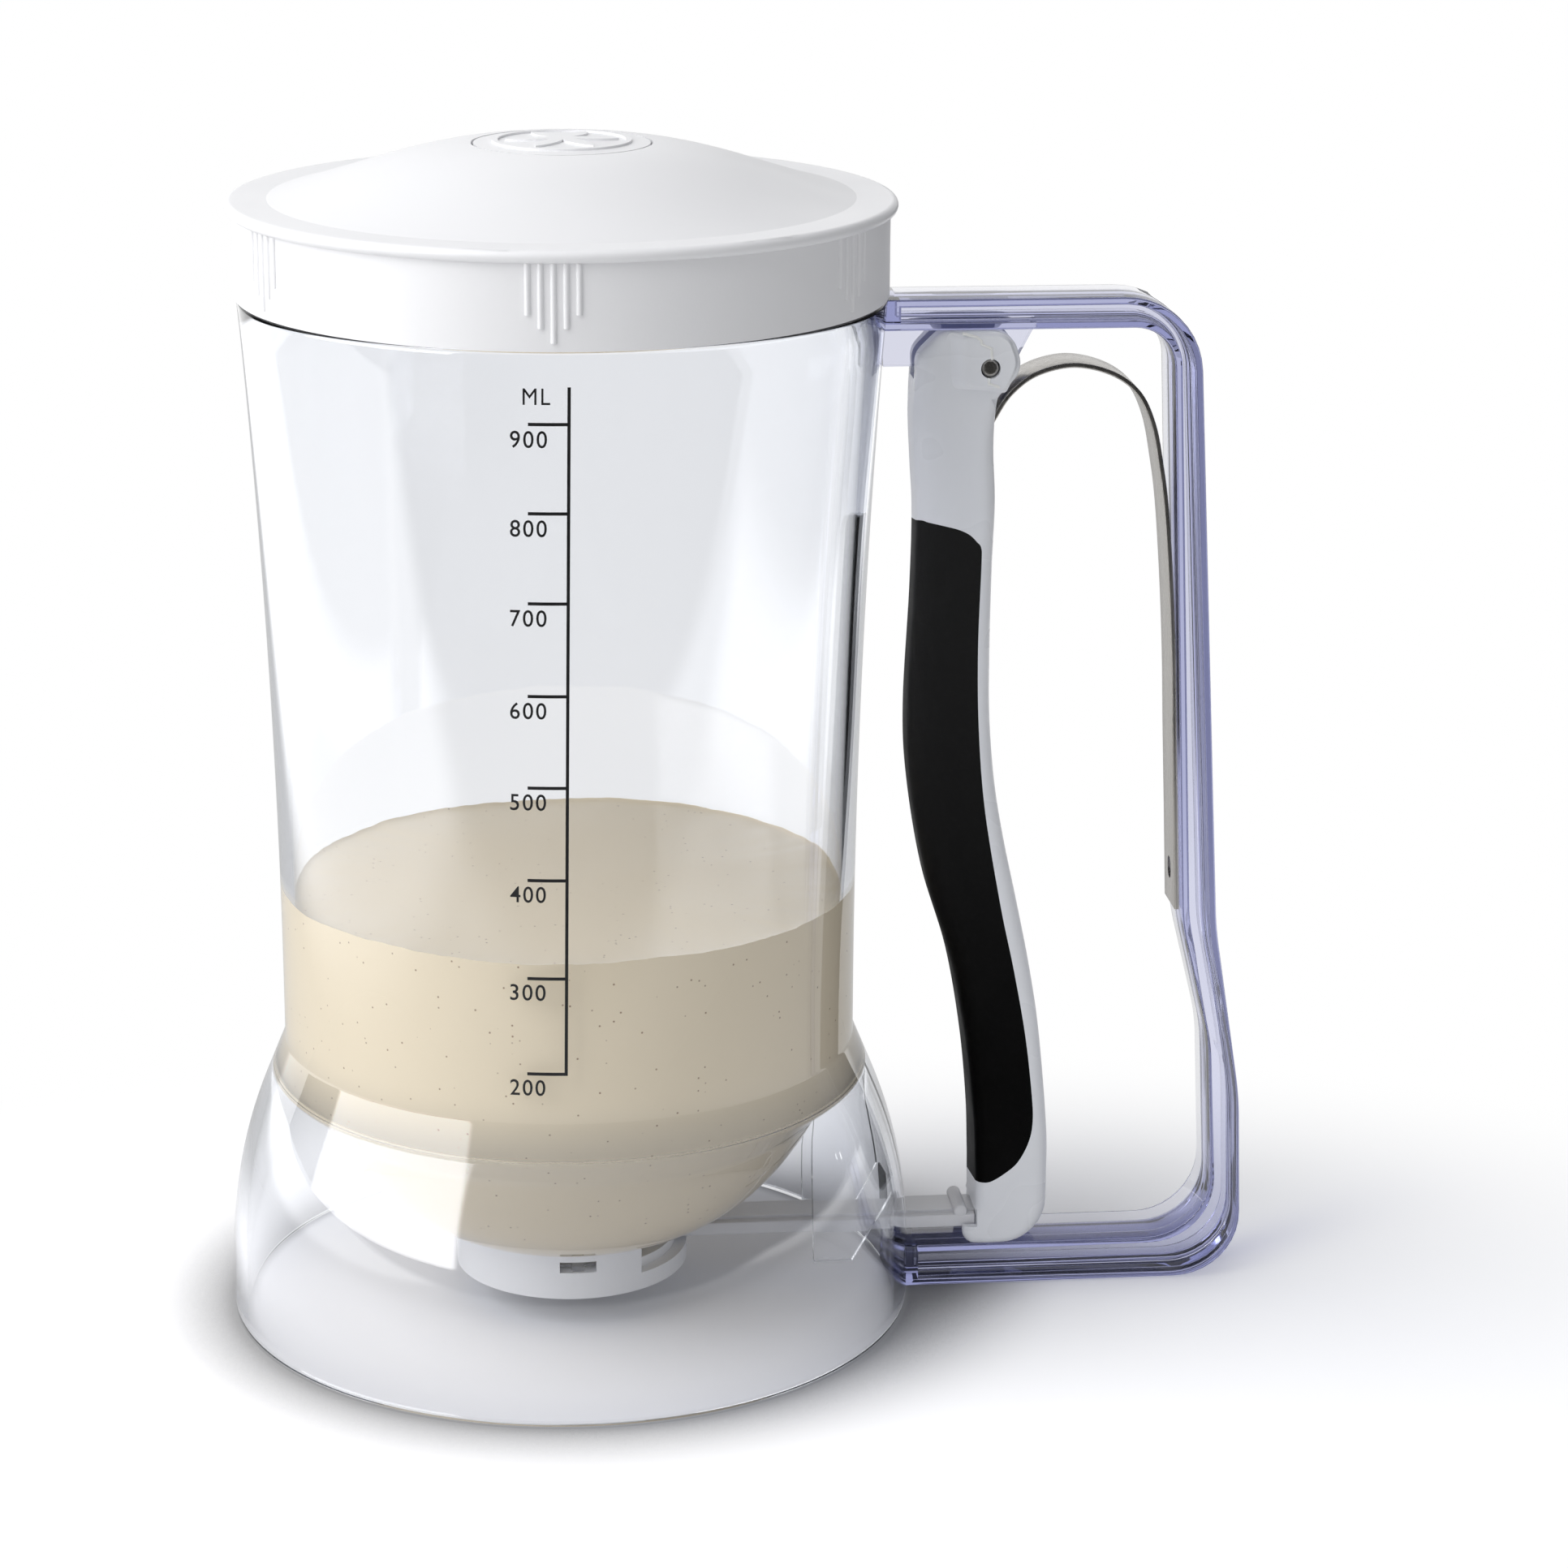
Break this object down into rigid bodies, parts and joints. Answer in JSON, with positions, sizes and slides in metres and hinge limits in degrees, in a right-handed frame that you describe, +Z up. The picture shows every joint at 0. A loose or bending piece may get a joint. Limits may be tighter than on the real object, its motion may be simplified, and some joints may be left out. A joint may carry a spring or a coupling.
{
  "type": "pancake batter dispenser",
  "caption": "Clear jug on a flared skirt with a squeeze lever that slides open a gate under its bowl, a C-shaped side handle, a printed scale and a lift-off domed lid.",
  "frame": {"origin": "on the jug's axis, in the plane that the skirt's rim stands on", "axes": "+Z up along the jug's axis, +X towards the handle, -Y is the side with the scale"},
  "size_m": [0.1711, 0.114, 0.1956],
  "materials": {
    "clear_plastic": "clear polished styrene, faintly lavender where it is thick",
    "white_plastic": "satin moulded",
    "grey_plastic": "satin moulded",
    "lever_plastic": "smooth satin",
    "black_grip": "matte soft-touch overmould",
    "white_silicone": "matte silicone",
    "steel": "spring steel, satin",
    "black_ink": "screen print",
    "batter": "thick smooth batter with fine brown specks"
  },
  "bodies": {
    "jug": {"jug_body": "clear_plastic", "base_skirt": "clear_plastic", "handle_frame": "clear_plastic", "scale_marks": "black_ink", "batter_fill": "batter", "outlet_seal": "white_silicone", "valve_ring": "white_plastic", "pivot_pin": "steel", "pin_retainer": "steel"},
    "lever": {"lever_shell": "lever_plastic", "lever_cover": "lever_plastic", "lever_grip": "black_grip", "leaf_spring": "steel"},
    "gate": {"gate_slide": "grey_plastic"},
    "lid": {"lid_shell": "white_plastic", "lid_badge": "white_plastic"}
  },
  "joints": [
    {"name": "lever_squeeze", "type": "hinge", "parent": "jug", "child": "lever", "pos_m": [0.0679, 0, 0.1591], "axis": [0, -1, 0], "range_deg": [0, 8], "stiffness_Nm_per_rad": 3.5, "springref_deg": -8.59, "deforming": ["leaf_spring"]},
    {"name": "gate_travel", "type": "slide", "parent": "jug", "child": "gate", "axis": [1, 0, 0], "range_m": [0, 0.0206]},
    {"name": "lid_lift", "type": "slide", "parent": "jug", "child": "lid", "axis": [0, 0, 1], "range_m": [0, 0.03]}
  ],
  "couplings": [
    {"joint": "gate_travel", "follows": "lever_squeeze", "m_per_rad": 0.1474}
  ]
}
